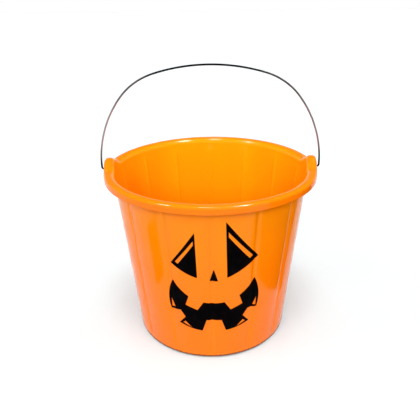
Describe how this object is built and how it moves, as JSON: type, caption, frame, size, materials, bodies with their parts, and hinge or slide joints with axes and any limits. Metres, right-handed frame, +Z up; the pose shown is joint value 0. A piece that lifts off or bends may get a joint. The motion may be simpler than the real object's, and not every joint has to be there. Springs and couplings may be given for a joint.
{
  "type": "pumpkin candy pail",
  "caption": "Tapered fluted plastic pail with a rolled rim, raised ears, a swinging wire bail and a printed jack-o'-lantern face, for carrying sweets.",
  "frame": {"origin": "middle of the foot ring, at floor level", "axes": "+Z up along the pail's axis, the face looks along -Y, the bail's pivots lie along X"},
  "size_m": [0.1954, 0.1874, 0.2437],
  "materials": {
    "orange_plastic": "glossy moulded polypropylene",
    "steel_wire": "dark drawn steel wire",
    "black_ink": "screen-printed black ink, satin"
  },
  "bodies": {
    "pail": {"pail_body": "orange_plastic", "left_eye_print": "black_ink", "right_eye_print": "black_ink", "nose_print": "black_ink", "mouth_print": "black_ink"},
    "bail": {"bail": "steel_wire"}
  },
  "joints": [
    {"name": "bail_swing", "type": "hinge", "parent": "pail", "child": "bail", "pos_m": [0, 0, 0.1542], "axis": [1, 0, 0], "range_deg": [-87.2, 87.2]}
  ]
}
